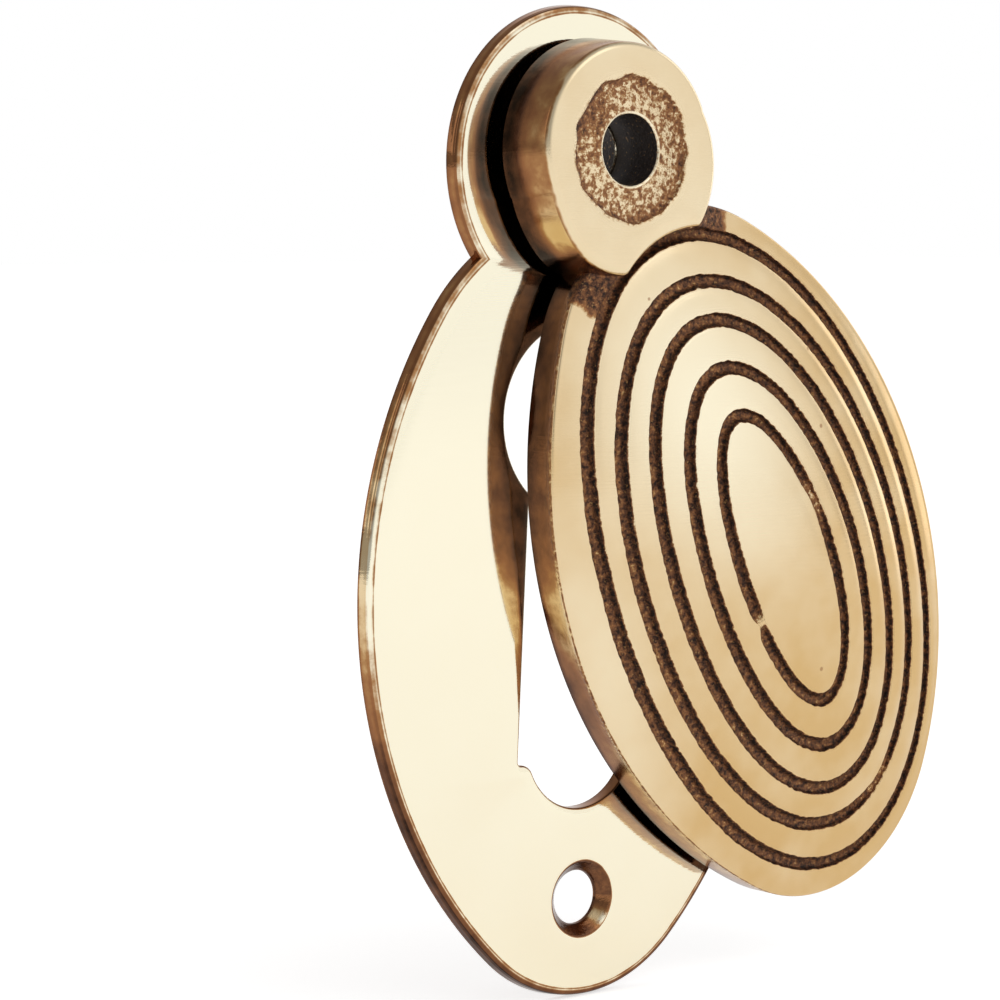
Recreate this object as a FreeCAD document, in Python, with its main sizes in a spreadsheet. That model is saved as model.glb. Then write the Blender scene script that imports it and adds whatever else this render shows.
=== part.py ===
"""Keyhole escutcheon: a cast brass backplate and the domed cover that swings on it.

Millimetres. +Z runs up the plate, the front faces -Y and +X lies to the viewer's right.
The origin is on the hinge axis, at the back face of the plate.
"""

import FreeCAD
import Part
import Sketcher
import math
import os

PARTS_FOLDER = "parts"
GROOVES = 5

# Driving dimensions, in millimetres and degrees
SIZES = {
    # backplate
    "plate_thickness": 1.2,
    "plate_edge_break": 0.3,
    "plate_draft": 8.0,
    "lobe_radius": 11.85,
    "lobe_drop": 0.95,
    "plate_shift": 0.45,
    "plate_top_drop": 4.45,
    "plate_half_width": 20.5,
    "plate_upper_height": 28.75,
    "plate_lower_height": 30.9,
    "plate_upper_radius": 16.7,
    "plate_lower_radius": 12.6,
    # seat that carries the cover
    "pivot_hole_radius": 2.55,
    "seat_ring_radius": 4.4,
    "seat_ring_height": 0.93,
    "running_clearance": 0.05,
    # lower fixing hole, its centre measured from the lower end of the plate
    "screw_hole_margin": 7.55,
    "screw_hole_radius": 2.05,
    "countersink_radius": 2.95,
    "countersink_angle": 90.0,
    # keyhole, its foot measured from the fixing hole
    "key_round_radius": 7.3,
    "key_round_drop": 20.0,
    "key_neck_half_width": 4.65,
    "key_foot_radius": 5.15,
    "key_foot_rise": 12.15,
    "key_shoulder_width": 0.95,
    "key_shoulder_drop": 1.35,
    # cover
    "swing_angle": 24.1,
    "cover_shift": 0.2,
    "cover_top_drop": 5.55,
    "cover_half_width": 18.65,
    "cover_half_height": 28.65,
    "cover_end_radius": 12.9,
    "cover_edge_break": 0.3,
    "dome_height": 6.65,
    "rim_side_height": 2.9,
    "rim_end_height": 2.5,
    # ring grooves, counted from the rim inwards; each end step is taken from the ring before it
    "ring_shift": 0.45,
    "groove_width": 1.07,
    "groove_depth": 0.75,
    "groove_side_inset": 2.85,
    "groove_side_pitch": 2.815,
    "groove_1_end_step": 2.4,
    "groove_2_end_step": 3.6,
    "groove_3_end_step": 3.0,
    "groove_4_end_step": 3.75,
    "groove_5_end_step": 3.8,
    # boss
    "boss_height": 4.85,
    "boss_back_radius": 8.35,
    "boss_front_radius": 7.9,
    "boss_neck": 1.2,
    "boss_edge_round": 0.5,
    "boss_bore_radius": 2.7,
    "recess_radius": 5.3,
    "recess_depth": 0.4,
}


def side_radius(half_width, half_height, end_radius):
    """Write the radius of the side arcs that are tangent to the end arc of half an oval."""
    return "({a} ^ 2 + {b} ^ 2 - 2 * {b} * {r}) / (2 * ({a} - {r}))".format(
        a=half_width, b=half_height, r=end_radius
    )


def arc_radius(half_chord, rise):
    """Write the radius of an arc from half its chord and its rise."""
    return "(({c}) ^ 2 + ({h}) ^ 2) / (2 * ({h}))".format(c=half_chord, h=rise)


# Values that follow from the driving dimensions
DERIVED = {
    "plate_oval_drop": "plate_top_drop + plate_upper_height",
    "plate_upper_side": side_radius("plate_half_width", "plate_upper_height", "plate_upper_radius"),
    "plate_lower_side": side_radius("plate_half_width", "plate_lower_height", "plate_lower_radius"),
    "screw_hole_drop": "plate_oval_drop + plate_lower_height - screw_hole_margin",
    "key_foot_drop": "screw_hole_drop - key_foot_rise",
    "key_skirt_drop": "key_foot_drop + key_shoulder_drop",
    "key_skirt_half_width": "key_foot_radius + key_shoulder_width",
    "seat_front": "plate_thickness + seat_ring_height",
    "cover_back": "seat_front + running_clearance",
    "cover_oval_drop": "cover_top_drop + cover_half_height",
    "cover_side": side_radius("cover_half_width", "cover_half_height", "cover_end_radius"),
    "dome_cross_radius": arc_radius("cover_half_width", "dome_height - rim_side_height"),
    "dome_length_radius": arc_radius("cover_half_height", "dome_height - rim_end_height"),
    "floor_height": "dome_height - groove_depth",
    "floor_cross_radius": "dome_cross_radius - groove_depth",
    "floor_length_radius": "dome_length_radius - groove_depth",
    "dome_reach": "1.2 * cover_half_width",
    "dome_front": "2 * dome_height",
    "recess_floor": "boss_height - recess_depth",
}

# How close a point must lie to a plane to count as on it
ON_PLANE = 1e-4

doc = FreeCAD.newDocument("keyhole_escutcheon")
value = {}


def add_groove_cells():
    """Derive the two edges of every ring groove, each ring from the one outside it."""
    across, along = "cover_half_width - groove_side_inset", "cover_half_height"
    for ring in range(1, GROOVES + 1):
        along += " - groove_%d_end_step" % ring
        for edge, way in (("outer", "+"), ("inner", "-")):
            DERIVED["groove_%d_%s_width" % (ring, edge)] = "%s %s groove_width / 2" % (across, way)
            DERIVED["groove_%d_%s_height" % (ring, edge)] = "%s %s groove_width / 2" % (along, way)
        across += " - groove_side_pitch"


def make_sheet():
    """Put every dimension in a spreadsheet cell under its own alias, and read the values back."""
    add_groove_cells()
    sheet = doc.addObject("Spreadsheet::Sheet", "Sizes")
    cells = {alias: str(number) for alias, number in SIZES.items()}
    cells.update((alias, "=" + formula) for alias, formula in DERIVED.items())
    for row, (alias, content) in enumerate(cells.items(), start=1):
        sheet.set("A%d" % row, alias)
        sheet.set("B%d" % row, content)
        sheet.setAlias("B%d" % row, alias)
    doc.recompute()
    for alias in cells:
        value[alias] = float(sheet.get(alias))


def bind(target, prop, formula):
    """Bind a property to a formula, whose words in braces are cells of the sheet."""
    target.setExpression(prop, formula.replace("{", "<<Sizes>>.").replace("}", ""))


def new_body(label):
    body = doc.addObject("PartDesign::Body", label)
    body.Label = label
    return body


def new_sketch(body, name, role="XZ_Plane", offset=None):
    """Start a sketch on a plane of the body, moved off it by the formula offset."""
    sketch = body.newObject("Sketcher::SketchObject", name)
    plane = next(item for item in body.Origin.OriginFeatures if item.Role == role)
    sketch.AttachmentSupport = (plane, [""])
    sketch.MapMode = "FlatFace"
    if offset:
        bind(sketch, "AttachmentOffset.Base.z", offset)
    return sketch


def fix(sketch, *constraint):
    return sketch.addConstraint(Sketcher.Constraint(*constraint))


def drive(sketch, name, formula, *constraint):
    """Add a named constraint to the sketch and bind it to a formula."""
    sketch.renameConstraint(fix(sketch, *constraint), name)
    bind(sketch, "Constraints." + name, formula)


def add_circle(sketch, radius, drop=None):
    """Draw a circle about the hinge axis, or below it at the named drop."""
    z = -value[drop] if drop else 0.0
    circle = Part.Circle(FreeCAD.Vector(0, z, 0), FreeCAD.Vector(0, 0, 1), value[radius])
    number = sketch.addGeometry(circle, False)
    fix(sketch, "PointOnObject", number, 3, -2)
    if drop:
        drive(sketch, "drop", "{%s}" % drop, "DistanceY", number, 3, -1, 1, -z)
    else:
        fix(sketch, "PointOnObject", number, 3, -1)
    drive(sketch, "radius", "{%s}" % radius, "Radius", number, value[radius])


def add_ring_ellipse(sketch, name):
    """Draw the upright ellipse of one edge of a ring groove."""
    x, z = value["ring_shift"], -value["cover_oval_drop"]
    a, b = value[name + "_width"], value[name + "_height"]
    ends = (FreeCAD.Vector(x, z + b, 0), FreeCAD.Vector(x + a, z, 0), FreeCAD.Vector(x, z, 0))
    ellipse = sketch.addGeometry(Part.Ellipse(*ends), False)
    sketch.exposeInternalGeometry(ellipse)
    major, minor = ellipse + 1, ellipse + 2
    fix(sketch, "Vertical", major)
    drive(sketch, name + "_across", "{ring_shift}", "DistanceX", -1, 1, ellipse, 3, x)
    drive(sketch, name + "_drop", "{cover_oval_drop}", "DistanceY", ellipse, 3, -1, 1, -z)
    drive(sketch, name + "_length", "2 * {%s_height}" % name, "Distance", major, 2 * b)
    drive(sketch, name + "_breadth", "2 * {%s_width}" % name, "Distance", minor, 2 * a)


def add_oval(sketch, shift, drop, half_width, upper, lower):
    """Draw an oval of six tangent arcs: two ends, and a side arc on each side above and below.

    upper and lower each name the half height, the end radius and the side radius of one half.
    """
    x, z, a = value[shift], -value[drop], value[half_width]
    axis = FreeCAD.Vector(0, 0, 1)
    lean = {}

    def arc(centre_x, centre_z, radius, first, last):
        circle = Part.Circle(FreeCAD.Vector(centre_x, centre_z, 0), axis, radius)
        return sketch.addGeometry(Part.ArcOfCircle(circle, first, last), False)

    def half(names, way):
        height, end, side = (value[name] for name in names)
        lean = math.atan2(height - end, side - a)
        right = (-lean, 0.0) if way < 0 else (0.0, lean)
        left = (math.pi, math.pi + lean) if way < 0 else (math.pi - lean, math.pi)
        cap = (math.pi + lean, 2 * math.pi - lean) if way < 0 else (lean, math.pi - lean)
        return (
            arc(x + a - side, z, side, *right),
            arc(x, z + way * (height - end), end, *cap),
            arc(x - a + side, z, side, *left),
        )

    upper_right, top, upper_left = half(upper, 1)
    lower_right, bottom, lower_left = half(lower, -1)
    chain = (upper_right, top, upper_left, lower_left, bottom, lower_right)
    for first, second in zip(chain, chain[1:] + chain[:1]):
        fix(sketch, "Tangent", first, 2, second, 1)
    for first, second in ((upper_right, upper_left), (lower_right, lower_left)):
        fix(sketch, "Equal", first, second)
    fix(sketch, "Horizontal", upper_right, 3, upper_right, 1)
    fix(sketch, "Horizontal", upper_left, 3, upper_left, 2)
    fix(sketch, "Horizontal", upper_right, 1, upper_left, 2)
    drive(sketch, "upper_end", "{%s}" % upper[1], "Radius", top, value[upper[1]])
    drive(sketch, "lower_end", "{%s}" % lower[1], "Radius", bottom, value[lower[1]])
    drive(sketch, "upper_side", "{%s}" % upper[2], "Radius", upper_right, value[upper[2]])
    drive(sketch, "lower_side", "{%s}" % lower[2], "Radius", lower_right, value[lower[2]])
    drive(sketch, "breadth", "2 * {%s}" % half_width, "DistanceX", upper_left, 2, upper_right, 1, 2 * a)
    drive(sketch, "right_reach", "{%s} + {%s}" % (half_width, shift), "DistanceX", -1, 1, upper_right, 1, a + x)
    drive(sketch, "drop", "{%s}" % drop, "DistanceY", upper_right, 1, -1, 1, -z)


def add_plate_oval(sketch):
    upper = ("plate_upper_height", "plate_upper_radius", "plate_upper_side")
    lower = ("plate_lower_height", "plate_lower_radius", "plate_lower_side")
    add_oval(sketch, "plate_shift", "plate_oval_drop", "plate_half_width", upper, lower)


def add_cover_oval(sketch):
    half = ("cover_half_height", "cover_end_radius", "cover_side")
    add_oval(sketch, "cover_shift", "cover_oval_drop", "cover_half_width", half, half)


def add_skirt(sketch):
    """Draw the lower half of the keyhole: straight sides that flare from the neck to the skirt."""
    neck, skirt = value["key_neck_half_width"], value["key_skirt_half_width"]
    high, low = -value["key_round_drop"], -value["key_skirt_drop"]
    corners = ((-neck, high), (neck, high), (skirt, low), (-skirt, low))
    points = [FreeCAD.Vector(x, z, 0) for x, z in corners]
    lines = [Part.LineSegment(points[i], points[(i + 1) % 4]) for i in range(4)]
    top, right, bottom, left = [sketch.addGeometry(line, False) for line in lines]
    for first, second in ((top, right), (right, bottom), (bottom, left), (left, top)):
        fix(sketch, "Coincident", first, 2, second, 1)
    fix(sketch, "Symmetric", top, 1, top, 2, -2)
    fix(sketch, "Symmetric", bottom, 1, bottom, 2, -2)
    drive(sketch, "neck_width", "2 * {key_neck_half_width}", "DistanceX", top, 1, top, 2, 2 * neck)
    drive(sketch, "skirt_width", "2 * {key_skirt_half_width}", "DistanceX", bottom, 2, bottom, 1, 2 * skirt)
    drive(sketch, "neck_drop", "{key_round_drop}", "DistanceY", top, 1, -1, 1, -high)
    drive(sketch, "skirt_drop", "{key_skirt_drop}", "DistanceY", bottom, 1, -1, 1, -low)


def add_boss_slot(sketch):
    """Draw the boss as a short upright slot that runs from the hinge axis downwards."""
    radius, length = value["boss_back_radius"], value["boss_neck"]
    axis = FreeCAD.Vector(0, 0, 1)
    upper = Part.ArcOfCircle(Part.Circle(FreeCAD.Vector(0, 0, 0), axis, radius), 0, math.pi)
    lower = Part.ArcOfCircle(Part.Circle(FreeCAD.Vector(0, -length, 0), axis, radius), math.pi, 2 * math.pi)
    down = Part.LineSegment(FreeCAD.Vector(-radius, 0, 0), FreeCAD.Vector(-radius, -length, 0))
    rise = Part.LineSegment(FreeCAD.Vector(radius, -length, 0), FreeCAD.Vector(radius, 0, 0))
    top, left, bottom, right = [sketch.addGeometry(line, False) for line in (upper, down, lower, rise)]
    for first, second in ((top, left), (left, bottom), (bottom, right), (right, top)):
        fix(sketch, "Tangent", first, 2, second, 1)
    fix(sketch, "Coincident", top, 3, -1, 1)
    fix(sketch, "PointOnObject", bottom, 3, -2)
    fix(sketch, "Vertical", left)
    drive(sketch, "round_radius", "{boss_back_radius}", "Radius", top, radius)
    drive(sketch, "neck_length", "{boss_neck}", "DistanceY", bottom, 3, -1, 1, length)


def pad(body, sketch, name, length, taper=None):
    feature = body.newObject("PartDesign::Pad", name)
    feature.Profile = sketch
    bind(feature, "Length", length)
    if taper:
        bind(feature, "TaperAngle", taper)
    sketch.Visibility = False
    return feature


def cut_through(body, sketch, name):
    """Cut the sketch through the whole body, both ways from its plane."""
    feature = body.newObject("PartDesign::Pocket", name)
    feature.Profile = sketch
    feature.Type = "ThroughAll"
    feature.Midplane = True
    sketch.Visibility = False
    return feature


def in_front_plane(edge, depth):
    """Tell whether an edge lies in the plane that stands depth in front of the back face."""
    box = edge.BoundBox
    return abs(box.YMin + depth) < ON_PLANE and abs(box.YMax + depth) < ON_PLANE


def soften_edges(body, base, kind, name, amount, wanted):
    """Round or chamfer the edges of a feature that pass the test."""
    doc.recompute()
    edges = ["Edge%d" % number for number, edge in enumerate(base.Shape.Edges, start=1) if wanted(edge)]
    feature = body.newObject("PartDesign::" + kind, name)
    feature.Base = (base, edges)
    bind(feature, "Radius" if kind == "Fillet" else "Size", amount)
    return feature


def make_backplate():
    """Build the plate: lobe and oval with casting draft, keyhole, seat ring and both holes."""
    body = new_body("backplate")
    lobe = new_sketch(body, "lobe_outline")
    add_circle(lobe, "lobe_radius", "lobe_drop")
    pad(body, lobe, "lobe", "{plate_thickness}", "0 - {plate_draft}")
    oval = new_sketch(body, "oval_outline")
    add_plate_oval(oval)
    pad(body, oval, "oval", "{plate_thickness}", "0 - {plate_draft}")

    key_round = new_sketch(body, "key_round_outline")
    add_circle(key_round, "key_round_radius", "key_round_drop")
    cut_through(body, key_round, "key_round")
    key_skirt = new_sketch(body, "key_skirt_outline")
    add_skirt(key_skirt)
    cut_through(body, key_skirt, "key_skirt")
    key_foot = new_sketch(body, "key_foot_outline")
    add_circle(key_foot, "key_foot_radius", "key_foot_drop")
    foot = cut_through(body, key_foot, "key_foot")
    soften_edges(body, foot, "Chamfer", "front_edges", "{plate_edge_break}",
                 lambda edge: in_front_plane(edge, value["plate_thickness"]))

    seat = new_sketch(body, "seat_ring_outline")
    add_circle(seat, "seat_ring_radius")
    pad(body, seat, "seat_ring", "{seat_front}")
    pivot = new_sketch(body, "pivot_hole_outline")
    add_circle(pivot, "pivot_hole_radius")
    cut_through(body, pivot, "pivot_hole")
    sink_screw_hole(body)
    return body


def sink_screw_hole(body):
    """Sink the lower fixing hole from the front face."""
    sketch = new_sketch(body, "screw_hole_centre", offset="{plate_thickness}")
    add_circle(sketch, "screw_hole_radius", "screw_hole_drop")
    doc.recompute()
    hole = body.newObject("PartDesign::Hole", "screw_hole")
    hole.Profile = sketch
    hole.DepthType = "ThroughAll"
    hole.HoleCutType = "Countersink"
    hole.HoleCutCustomValues = True
    bind(hole, "Diameter", "2 * {screw_hole_radius}")
    bind(hole, "HoleCutDiameter", "2 * {countersink_radius}")
    bind(hole, "HoleCutCountersinkAngle", "{countersink_angle}")
    sketch.Visibility = False


def trim_to_dome(body, name, height, cross_radius, length_radius):
    """Cut away all that stands in front of a dome, curved across and along the cover.

    The profile is the space in front of the dome's cross arc. It turns about an axis that lies
    behind the cover, at the dome's radius along its length.
    """
    sketch = new_sketch(body, name + "_profile", role="XY_Plane", offset="0 - {cover_oval_drop}")
    apex, cross, along = value[height], value[cross_radius], value[length_radius]
    shift, reach, front = value["ring_shift"], value["dome_reach"], value["dome_front"]
    sweep = math.asin(reach / cross)
    circle = Part.Circle(FreeCAD.Vector(shift, cross - apex, 0), FreeCAD.Vector(0, 0, 1), cross)
    dome = sketch.addGeometry(Part.ArcOfCircle(circle, 1.5 * math.pi - sweep, 1.5 * math.pi + sweep), False)
    skirt = cross - apex - cross * math.cos(sweep)
    left_x, right_x = shift - reach, shift + reach
    corners = ((left_x, skirt), (left_x, -front), (right_x, -front), (right_x, skirt))
    points = [FreeCAD.Vector(x, y, 0) for x, y in corners]
    left, far, right = [
        sketch.addGeometry(Part.LineSegment(points[i], points[i + 1]), False) for i in range(3)
    ]
    turning = [FreeCAD.Vector(x, along - apex, 0) for x in (left_x, right_x)]
    axis = sketch.addGeometry(Part.LineSegment(*turning), True)
    for first, first_end, second, second_end in ((dome, 1, left, 1), (left, 2, far, 1), (far, 2, right, 1),
                                                 (right, 2, dome, 2)):
        fix(sketch, "Coincident", first, first_end, second, second_end)
    fix(sketch, "Vertical", left)
    fix(sketch, "Vertical", right)
    fix(sketch, "Horizontal", far)
    fix(sketch, "Horizontal", axis)
    fix(sketch, "Equal", far, axis)
    fix(sketch, "Vertical", far, 1, axis, 1)
    fix(sketch, "Horizontal", dome, 1, dome, 2)
    drive(sketch, "cross_radius", "{%s}" % cross_radius, "Radius", dome, cross)
    drive(sketch, "shift", "{ring_shift}", "DistanceX", -1, 1, dome, 3, shift)
    drive(sketch, "cross_centre", "{%s} - {%s}" % (cross_radius, height), "DistanceY", -1, 1, dome, 3, cross - apex)
    drive(sketch, "turning_axis", "{%s} - {%s}" % (length_radius, height), "DistanceY", -1, 1, axis, 1, along - apex)
    drive(sketch, "front_reach", "{dome_front}", "DistanceY", far, 1, -1, 1, front)
    drive(sketch, "side_reach", "2 * {dome_reach}", "DistanceX", far, 1, far, 2, 2 * reach)
    trim = body.newObject("PartDesign::Groove", name)
    trim.Profile = sketch
    trim.ReferenceAxis = (sketch, ["Axis0"])
    trim.Midplane = True
    bind(trim, "Angle", "3 * asin({cover_half_height} / {dome_length_radius})")
    sketch.Visibility = False
    return trim


def is_rim_edge(edge):
    """Tell whether an edge runs round the front of the cover's wall, outside every groove."""
    if edge.BoundBox.YMax > -ON_PLANE:
        return False
    wall_x = value["cover_half_width"] - value["groove_side_inset"] / 3
    wall_z = value["cover_half_height"] - value["groove_1_end_step"] / 3
    return all(
        math.hypot((vertex.X - value["cover_shift"]) / wall_x, (vertex.Z + value["cover_oval_drop"]) / wall_z) > 1
        for vertex in edge.Vertexes
    )


def make_boss():
    """Build the pivot boss: a tapered slot, cut back where the outermost groove runs past it."""
    body = new_body("boss")
    outline = new_sketch(body, "boss_outline")
    add_boss_slot(outline)
    pad(body, outline, "boss_slot", "{boss_height}",
        "atan(({boss_front_radius} - {boss_back_radius}) / {boss_height})")
    room = new_sketch(body, "groove_room_outline")
    add_ring_ellipse(room, "groove_1_outer")
    cut_back = cut_through(body, room, "groove_room")
    soften_edges(body, cut_back, "Fillet", "boss_edge", "{boss_edge_round}",
                 lambda edge: in_front_plane(edge, value["boss_height"]))
    return body


def make_cover():
    """Build the cover: an oval with its grooves at one dome and its ridges at another, and the boss."""
    body = new_body("cover")
    outline = new_sketch(body, "cover_outline")
    add_cover_oval(outline)
    pad(body, outline, "cover_blank", "{dome_height}")
    trim_to_dome(body, "groove_floor", "floor_height", "floor_cross_radius", "floor_length_radius")

    ridges = new_sketch(body, "ridge_outlines")
    add_cover_oval(ridges)
    for ring in range(1, GROOVES + 1):
        add_ring_ellipse(ridges, "groove_%d_outer" % ring)
        add_ring_ellipse(ridges, "groove_%d_inner" % ring)
    pad(body, ridges, "ridges", "{dome_height}")
    dome = trim_to_dome(body, "dome", "dome_height", "dome_cross_radius", "dome_length_radius")
    soften_edges(body, dome, "Chamfer", "rim_edge", "{cover_edge_break}", is_rim_edge)

    join = body.newObject("PartDesign::Boolean", "boss_join")
    join.Type = "Fuse"
    join.setObjects([make_boss()])
    recess = new_sketch(body, "recess_outline", offset="{recess_floor}")
    add_circle(recess, "recess_radius")
    hollow = body.newObject("PartDesign::Pocket", "recess")
    hollow.Profile = recess
    hollow.Reversed = True
    bind(hollow, "Length", "2 * {recess_depth}")
    bore = new_sketch(body, "bore_outline")
    add_circle(bore, "boss_bore_radius")
    cut_through(body, bore, "bore")
    return body


def place_cover(cover):
    """Seat the cover in front of the plate, swung aside about the hinge axis."""
    turn = FreeCAD.Rotation(FreeCAD.Vector(0, -1, 0), value["swing_angle"])
    cover.Placement = FreeCAD.Placement(FreeCAD.Vector(0, -value["cover_back"], 0), turn)
    bind(cover, "Placement.Base.y", "0 - {cover_back}")
    bind(cover, "Placement.Rotation.Angle", "{swing_angle}")


def check(subparts):
    """Stop if any feature failed or any sub-part isn't one sound solid."""
    for item in doc.Objects:
        if "Invalid" in item.State or "Error" in item.State:
            raise RuntimeError("%s didn't compute" % item.Label)
    for subpart in subparts:
        if subpart.Shape.isNull() or not subpart.Shape.isValid() or len(subpart.Shape.Solids) != 1:
            raise RuntimeError("%s isn't one valid solid" % subpart.Label)


def export(subparts):
    os.makedirs(PARTS_FOLDER, exist_ok=True)
    for subpart in subparts:
        subpart.Shape.exportStep(os.path.join(PARTS_FOLDER, subpart.Label + ".step"))


make_sheet()
backplate = make_backplate()
cover = make_cover()
place_cover(cover)
doc.recompute()
check([backplate, cover])
export([backplate, cover])
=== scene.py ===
from math import atan2, cos, degrees, exp, hypot, pi, radians, sin, sqrt, tan

import bmesh
import bpy
from mathutils import Matrix, Vector, noise


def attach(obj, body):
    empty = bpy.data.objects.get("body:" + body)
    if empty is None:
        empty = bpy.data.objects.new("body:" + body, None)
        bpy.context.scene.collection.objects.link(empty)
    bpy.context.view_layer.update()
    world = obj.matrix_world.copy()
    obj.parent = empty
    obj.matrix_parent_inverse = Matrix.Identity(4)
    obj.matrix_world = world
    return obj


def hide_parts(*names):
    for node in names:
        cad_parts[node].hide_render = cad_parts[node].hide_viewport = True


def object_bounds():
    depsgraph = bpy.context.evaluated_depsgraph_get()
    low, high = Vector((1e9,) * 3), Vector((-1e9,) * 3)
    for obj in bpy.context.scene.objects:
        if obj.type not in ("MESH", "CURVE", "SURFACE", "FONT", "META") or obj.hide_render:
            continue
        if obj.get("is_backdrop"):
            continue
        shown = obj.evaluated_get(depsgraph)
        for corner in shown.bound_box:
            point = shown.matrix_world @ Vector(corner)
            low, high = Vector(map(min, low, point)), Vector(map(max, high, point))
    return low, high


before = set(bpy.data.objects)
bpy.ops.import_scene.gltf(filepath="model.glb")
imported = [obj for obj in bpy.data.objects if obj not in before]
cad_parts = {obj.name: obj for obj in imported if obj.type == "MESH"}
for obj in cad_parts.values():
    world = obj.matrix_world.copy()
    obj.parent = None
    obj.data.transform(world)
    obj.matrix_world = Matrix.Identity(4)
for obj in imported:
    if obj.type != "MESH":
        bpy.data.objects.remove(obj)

bl_info = {
    "name": "Keyhole escutcheon",
    "version": (1, 0, 0),
    "blender": (4, 5, 0),
    "location": "3D View > Sidebar > Escutcheon",
    "description": "Makes a cast brass keyhole escutcheon with its swinging, ring-grooved cover",
    "category": "Add Mesh",
}

MM = 0.001
SHARP = radians(40.0)  # polished faces that meet at more than this keep a sharp edge
LAYERS = ("patina", "grit", "wear", "tarnish_and_highlight")
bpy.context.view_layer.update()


# Sizes and colours that a user would change

def length(name, millimetres, description):
    return bpy.props.FloatProperty(
        name=name, description=description, default=millimetres * MM, unit="LENGTH", precision=5
    )


def angle(name, turn, description):
    return bpy.props.FloatProperty(
        name=name, description=description, default=radians(turn), subtype="ANGLE", unit="ROTATION"
    )


def tint(name, rgb, description):
    return bpy.props.FloatVectorProperty(
        name=name, description=description, default=rgb, size=3, subtype="COLOR", min=0.0, max=1.0
    )


class PlateSizes(bpy.types.PropertyGroup):
    thickness: length("Thickness", 1.2, "Thickness of the plate")
    edge_round: length("Edge round", 0.3, "Radius of the polished front edges")
    draft: angle("Draft", 8.0, "Lean of the plate's side wall")
    roll_width: length("Roll width", 1.5, "Width of the soft roll that polishing left along the edges")
    roll_drop: length("Roll drop", 0.11, "Fall of the soft roll at the edge")
    lobe_radius: length("Lobe radius", 11.85, "Radius of the round top lobe")
    lobe_drop: length("Lobe drop", 0.95, "Lobe's centre below the hinge axis")
    shift: length("Oval shift", 0.45, "Oval's centre right of the hinge axis")
    oval_drop: length("Oval drop", 33.2, "Oval's centre below the hinge axis")
    half_width: length("Half width", 20.5, "Half the width of the oval")
    upper_height: length("Upper height", 28.75, "Height of the oval above its centre")
    lower_height: length("Lower height", 30.9, "Height of the oval below its centre")
    upper_radius: length("Upper radius", 16.7, "Radius of the oval's upper end")
    lower_radius: length("Lower radius", 12.6, "Radius of the oval's lower end")
    pivot_radius: length("Pivot hole radius", 2.55, "Radius of the hole behind the boss")
    seat_radius: length("Seat radius", 4.4, "Radius of the ring that carries the cover")
    seat_height: length("Seat height", 0.93, "Height of the ring that carries the cover")
    screw_drop: length("Screw hole drop", 56.55, "Lower screw hole below the hinge axis")
    screw_radius: length("Screw hole radius", 2.05, "Radius of the lower screw hole")
    sink_radius: length("Countersink radius", 2.95, "Radius of the countersink at the front")
    key_radius: length("Keyhole radius", 7.3, "Radius of the keyhole's round")
    key_drop: length("Keyhole drop", 20.0, "Centre of the keyhole's round below the hinge axis")
    key_neck: length("Keyhole neck", 4.65, "Half the width of the keyhole below its round")
    key_skirt: length("Keyhole skirt", 6.1, "Half the width of the keyhole at its shoulders")
    key_skirt_drop: length("Shoulder drop", 45.75, "Keyhole's shoulders below the hinge axis")
    key_foot_radius: length("Keyhole foot radius", 5.15, "Radius of the keyhole's foot")
    key_foot_drop: length("Keyhole foot drop", 44.4, "Centre of the keyhole's foot below the hinge axis")
    key_corner: length("Shoulder round", 0.3, "Radius of the keyhole's shoulder corners")
    key_foot_round: length("Foot round", 1.15, "Radius of the metal corners between shoulders and foot")


class CoverSizes(bpy.types.PropertyGroup):
    swing: angle("Swing", 24.1, "Turn of the cover about its boss")
    back: length("Back", 2.18, "Back of the cover in front of the door")
    shift: length("Oval shift", 0.2, "Oval's centre right of the hinge axis")
    oval_drop: length("Oval drop", 34.2, "Oval's centre below the hinge axis")
    half_width: length("Half width", 18.65, "Half the width of the oval")
    half_height: length("Half height", 28.65, "Half the height of the oval")
    end_radius: length("End radius", 12.9, "Radius of the oval's ends")
    edge_round: length("Edge round", 0.35, "Radius of the rim's front edge")
    dome_height: length("Dome height", 6.65, "Height of the dome at its middle")
    cross_radius: length("Cross radius", 48.25, "Radius of the dome across the cover")
    long_radius: length("Length radius", 100.97, "Radius of the dome along the cover")
    ring_shift: length("Ring shift", 0.45, "Rings' centre right of the hinge axis")
    groove_width: length("Groove width", 1.08, "Width of the ring grooves")
    ridge_crown: length("Ridge crown", 0.09, "Fall of each ridge from its middle to its edges")
    groove_depth: length("Groove depth", 0.75, "Depth of the ring grooves")
    groove_rough: length("Groove roughness", 0.1, "How far the grooves' cast edges wander")
    ring_across: length("First ring", 15.8, "Half width of the outermost groove")
    ring_pitch: length("Ring pitch", 2.815, "Step from groove to groove across the cover")
    first_aside: length("First ring aside", 0.17, "Outermost ring further right than the others")


class BossSizes(bpy.types.PropertyGroup):
    height: length("Height", 4.85, "Height of the boss")
    back_radius: length("Back radius", 8.35, "Radius of the boss at its back")
    front_radius: length("Front radius", 7.9, "Radius of the boss at its front")
    neck: length("Neck", 1.2, "Stretch of the boss towards the cover")
    bulge: length("Bulge", 0.45, "Swelling of the boss at its lower left")
    edge_round: length("Edge round", 0.6, "Radius of the boss's front edge")
    bore_radius: length("Bore radius", 2.65, "Radius of the bore")
    recess_radius: length("Recess radius", 5.4, "Radius of the screw head's seat")
    recess_depth: length("Recess depth", 0.4, "Depth of the screw head's seat")
    mouth_rise: length("Mouth rise", 0.22, "Rise of the seat towards the bore")
    crown: length("Crown", 0.05, "Fall of the face from its middle to its edges")
    fillet_rise: length("Fillet rise", 0.9, "Height of the cast fillets between boss and rim")
    fillet_reach: length("Fillet reach", 2.2, "Width of the cast fillets between boss and rim")


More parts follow.
